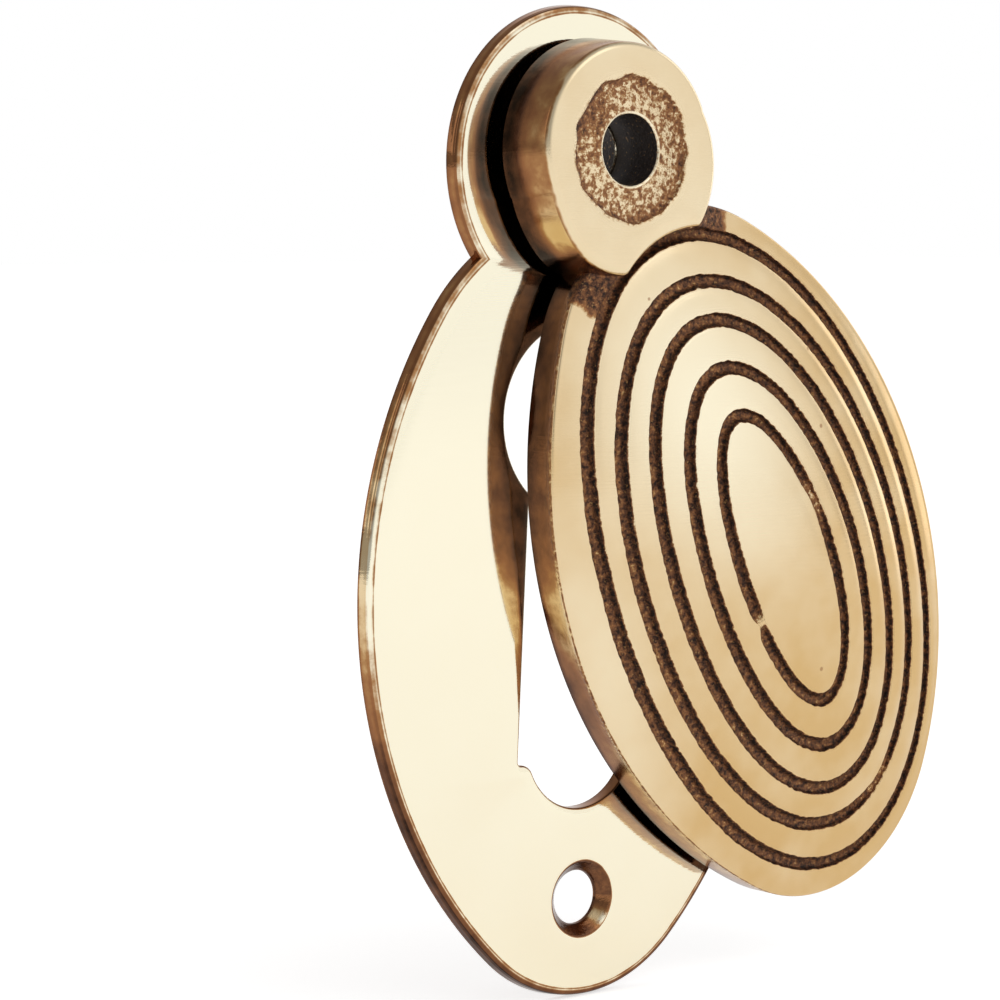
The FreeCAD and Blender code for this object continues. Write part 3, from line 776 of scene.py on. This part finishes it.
def brass_finish(name, colours, metal, shine, haze):
    """Aged brass: bright metal, warm tarnished metal, and dark patina with specks of gold in the rough
    hollows. Bright metal is kept where a highlight is painted, and the darkest film also stands for painted
    shade in the bore and the pivot hole.
    """
    material = bpy.data.materials.new(name)
    material.use_nodes = True
    tree = Nodes(material.node_tree)
    where = tree.add("ShaderNodeTexCoord").outputs["Object"]
    patina, grit, wear, tarnish_and_highlight = [
        tree.add("ShaderNodeAttribute", attribute_name=layer).outputs["Fac"] for layer in LAYERS
    ]
    clouds = tree.noise(where, 140.0, 3.0)
    blotch = tree.noise(where, 620.0, 4.0, 0.6)
    flake = tree.noise(where, 2600.0, 4.0, 0.7)
    grain = tree.noise(where, 5200.0, 3.0, 0.6)

    # how thick the dark film is: soft clouds on the walls, fine flakes where the casting is rough
    even = tree.around(patina, blotch, 0.6)
    flaky = tree.around(patina, flake, 2.4)
    dark = tree.sum("MULTIPLY", tree.blend(grit, even, flaky), tree.ramp(patina, 0.02, 0.12))
    film = tree.stops(
        dark, (0.0, colours.bronze), (0.4, colours.umber), (0.75, colours.patina), (1.0, colours.soot_and_shade)
    )
    glint = tree.sum("MULTIPLY", tree.ramp(tree.noise(where, 4200.0, 2.0, 0.6), 0.62, 0.7), grit)
    film = tree.mix(tree.sum("MULTIPLY", glint, 0.55), film, rgba(colours.bronze))

    old = tree.sum("MULTIPLY", tarnish_and_highlight, tree.span(clouds, 0.55, 1.35), clamp=True)
    face = tree.mix(old, rgba(metal), rgba(colours.tarnished))
    pits = tree.pinholes(where, 260.0)
    face = tree.mix(tree.sum("MULTIPLY", pits, 0.6), face, rgba(colours.umber))
    colour = tree.mix(tree.ramp(dark, 0.02, 0.3), face, film)
    colour = tree.mix(tree.sum("MULTIPLY", wear, tree.ramp(grain, 0.3, 0.55)), colour, rgba(metal))

    shader = tree.add("ShaderNodeBsdfPrincipled")
    tree.put(shader, Base_Color=colour, IOR=1.45)
    rough_dark = tree.sum("MULTIPLY", dark, grit)
    smooth_dark = tree.sum("SUBTRACT", dark, rough_dark)
    tree.put(shader, Metallic=tree.sum("SUBTRACT", 1.0, tree.sum("MULTIPLY", rough_dark, 0.5)))
    brushed = tree.add("ShaderNodeMapping")
    tree.put(brushed, Vector=where, Rotation=(0.0, radians(28.0), 0.0), Scale=(260.0, 260.0, 5200.0))
    lines = tree.noise(brushed.outputs[0], 1.0, 3.0)
    polish = tree.span(tree.blend(0.5, tree.noise(where, 700.0, 3.0), lines), shine, haze)
    polish = tree.sum("MULTIPLY", polish, tree.span(smooth_dark, 1.0, 0.55))
    tree.put(shader, Roughness=tree.sum("ADD", polish, tree.sum("MULTIPLY", rough_dark, 0.35)))

    height = tree.sum("MULTIPLY", tree.blend(0.5, flake, grain), grit)
    height = tree.sum("ADD", height, tree.sum("MULTIPLY", lines, 0.02 + 0.1 * haze))
    height = tree.sum("ADD", height, tree.sum("MULTIPLY", blotch, tree.sum("MULTIPLY", smooth_dark, 0.15)))
    bump = tree.add("ShaderNodeBump")
    tree.put(bump, Strength=0.7, Distance=0.00016, Height=height)
    tree.put(shader, Normal=bump.outputs["Normal"])
    output = tree.add("ShaderNodeOutputMaterial")
    tree.put(output, Surface=shader.outputs["BSDF"])
    return material


# Stage

CAMERA_PLACE = Vector((-153.74, -186.44, -6.38)) * MM
CAMERA_AIM = Vector((-8.481, -2.0, -25.612)) * MM
CAMERA_ROLL = radians(-0.1566)
CAMERA_LENS = 115.404

LAMP_AIM = Vector((0.0, 0.0, -0.028))
# name, azimuth, elevation, distance, width, height and glow
SOFTBOXES = (
    ("upper_softbox", 20.0, 48.0, 1.0, 0.6, 0.5, 0.5),
    ("right_softbox", 88.0, 14.0, 1.0, 0.3, 0.8, 1.1),
    ("left_softbox", -118.0, 22.0, 1.0, 0.3, 0.5, 0.7),
)
KEY_SIDE = Vector((0.41, -0.87, 0.26))
BACKDROP_SIDE = Vector((0.62, 0.78, -0.08))

WHITE = (1.0, 1.0, 1.0, 1.0)
WARM_WHITE = (1.0, 0.995, 0.985, 1.0)
FLOOR_WHITE = (0.86, 0.86, 0.86, 1.0)
FLOOR_SIZE = 6.0
GLOW_MIRRORED = 0.52  # of the floor, as the brass mirrors it
GLOW_SEEN = 0.62  # of the floor, as the camera sees it


def set_camera():
    camera = bpy.data.objects.new("camera", bpy.data.cameras.new("camera"))
    bpy.context.scene.collection.objects.link(camera)
    forward = (CAMERA_AIM - CAMERA_PLACE).normalized()
    level_right = forward.cross(Vector((0, 0, 1))).normalized()
    level_up = level_right.cross(forward)
    right = level_right * cos(CAMERA_ROLL) + level_up * sin(CAMERA_ROLL)
    up = level_up * cos(CAMERA_ROLL) - level_right * sin(CAMERA_ROLL)
    turn = Matrix((right, up, -forward)).transposed().to_4x4()
    camera.matrix_world = Matrix.Translation(CAMERA_PLACE) @ turn
    camera.data.sensor_width = 36.0
    camera.data.lens = CAMERA_LENS
    camera.data.clip_start = 0.01
    camera.data.clip_end = 20.0
    bpy.context.scene.camera = camera


def add_softbox(name, azimuth, elevation, distance, width, height, glow):
    """A rectangular lamp that faces the object. Azimuth 0 is straight in front, and 90 is to the right."""
    lamp = bpy.data.lights.new(name, "AREA")
    lamp.shape = "RECTANGLE"
    lamp.size, lamp.size_y = width, height
    lamp.energy = glow * width * height * pi
    box = bpy.data.objects.new(name, lamp)
    bpy.context.scene.collection.objects.link(box)
    a, e = radians(azimuth), radians(elevation)
    away = Vector((sin(a) * cos(e), -cos(a) * cos(e), sin(e)))
    turn = away.to_track_quat("Z", "Y").to_matrix().to_4x4()
    box.matrix_world = Matrix.Translation(LAMP_AIM + away * distance) @ turn


def set_floor(height):
    bm = bmesh.new()
    bmesh.ops.create_grid(bm, x_segments=1, y_segments=1, size=FLOOR_SIZE)
    bmesh.ops.translate(bm, verts=bm.verts, vec=(0.0, 0.0, height))
    mesh = bpy.data.meshes.new("floor")
    bm.to_mesh(mesh)
    bm.free()
    floor = bpy.data.objects.new("floor", mesh)
    bpy.context.scene.collection.objects.link(floor)
    material = bpy.data.materials.new("floor_white")
    material.use_nodes = True
    tree = Nodes(material.node_tree)
    diffuse = tree.put(tree.add("ShaderNodeBsdfDiffuse"), Color=FLOOR_WHITE)
    path = tree.add("ShaderNodeLightPath").outputs
    mirrored = tree.sum("MAXIMUM", path["Is Glossy Ray"], path["Is Transmission Ray"])
    in_mirror = tree.span(mirrored, 0.0, GLOW_MIRRORED)
    strength = tree.sum("ADD", in_mirror, tree.span(path["Is Camera Ray"], 0.0, GLOW_SEEN))
    glow = tree.put(tree.add("ShaderNodeEmission"), Color=WHITE, Strength=strength)
    both = tree.put(tree.add("ShaderNodeAddShader"), _0=diffuse.outputs[0], _1=glow.outputs[0])
    tree.put(tree.add("ShaderNodeOutputMaterial"), Surface=both.outputs[0])
    mesh.materials.append(material)
    floor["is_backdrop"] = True


def set_world():
    """Soft light from the front right, dimmer towards the left and the back, and a white backdrop."""
    world = bpy.data.worlds.new("studio")
    bpy.context.scene.world = world
    world.use_nodes = True
    tree = Nodes(world.node_tree)
    way = tree.add("ShaderNodeTexCoord").outputs["Generated"]

    def towards(side, low, high):
        facing = tree.put(tree.add("ShaderNodeVectorMath", operation="DOT_PRODUCT"), _0=way, _1=side)
        return tree.ramp(facing.outputs["Value"], low, high)

    strength = tree.span(towards(KEY_SIDE, 0.38, 0.92), 0.42, 1.0)
    light = tree.put(tree.add("ShaderNodeBackground"), Color=WARM_WHITE, Strength=strength)
    white = tree.put(tree.add("ShaderNodeBackground"), Color=WHITE, Strength=1.0)
    path = tree.add("ShaderNodeLightPath").outputs
    mirrored = tree.sum("MAXIMUM", path["Is Glossy Ray"], path["Is Transmission Ray"])
    mirrored = tree.sum("MULTIPLY", mirrored, towards(BACKDROP_SIDE, 0.4, 0.8))
    seen = tree.sum("MAXIMUM", path["Is Camera Ray"], mirrored)
    both = tree.put(tree.add("ShaderNodeMixShader"), _0=seen, _1=light.outputs[0], _2=white.outputs[0])
    tree.put(tree.add("ShaderNodeOutputWorld"), Surface=both.outputs[0])


# Operators, one for each piece and one for the stage

class ESCUTCHEON_OT_backplate(bpy.types.Operator):
    """Make the polished backplate with its keyhole"""
    bl_idname = "escutcheon.backplate"
    bl_label = "Backplate"

    def execute(self, context):
        plate, _, _, colours = scene_sizes()
        piece = cast_plate(plate)
        brass = brass_finish("polished_brass", colours, colours.polished, shine=0.04, haze=0.09)
        piece.data.materials.append(brass)
        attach(piece, "plate")
        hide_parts("backplate")
        return {"FINISHED"}


class ESCUTCHEON_OT_cover(bpy.types.Operator):
    """Make the domed cover with its ring grooves and its pivot boss"""
    bl_idname = "escutcheon.cover"
    bl_label = "Cover"

    def execute(self, context):
        _, cover, boss, colours = scene_sizes()
        piece = cast_cover(cover, boss)
        brass = brass_finish("ridge_brass", colours, colours.brushed, shine=0.17, haze=0.3)
        piece.data.materials.append(brass)
        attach(piece, "cover")
        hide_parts("cover")
        return {"FINISHED"}


class ESCUTCHEON_OT_stage(bpy.types.Operator):
    """Set up the camera, the floor and the studio light"""
    bl_idname = "escutcheon.stage"
    bl_label = "Stage"

    def execute(self, context):
        context.scene.view_settings.view_transform = "Standard"
        set_camera()
        set_floor(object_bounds()[0].z)
        set_world()
        for box in SOFTBOXES:
            add_softbox(*box)
        return {"FINISHED"}


class ESCUTCHEON_PT_panel(bpy.types.Panel):
    """Lists the pieces of the escutcheon"""
    bl_idname = "ESCUTCHEON_PT_panel"
    bl_label = "Escutcheon"
    bl_space_type = "VIEW_3D"
    bl_region_type = "UI"
    bl_category = "Escutcheon"

    def draw(self, context):
        for operator in OPERATORS:
            self.layout.operator(operator.bl_idname)
        for group in GROUPS:
            for key in GROUPS[group].__annotations__:
                self.layout.prop(getattr(context.scene, group), key)


GROUPS = {
    "plate_sizes": PlateSizes,
    "cover_sizes": CoverSizes,
    "boss_sizes": BossSizes,
    "brass_colours": BrassColours,
}
OPERATORS = (ESCUTCHEON_OT_backplate, ESCUTCHEON_OT_cover, ESCUTCHEON_OT_stage)


def register():
    for name, group in GROUPS.items():
        bpy.utils.register_class(group)
        setattr(bpy.types.Scene, name, bpy.props.PointerProperty(type=group))
    for operator in OPERATORS:
        bpy.utils.register_class(operator)
    bpy.utils.register_class(ESCUTCHEON_PT_panel)


def unregister():
    bpy.utils.unregister_class(ESCUTCHEON_PT_panel)
    for operator in reversed(OPERATORS):
        bpy.utils.unregister_class(operator)
    for name, group in reversed(GROUPS.items()):
        delattr(bpy.types.Scene, name)
        bpy.utils.unregister_class(group)


def main():
    register()
    bpy.ops.escutcheon.backplate()
    bpy.ops.escutcheon.cover()
    bpy.ops.escutcheon.stage()


if __name__ == "__main__":
    main()
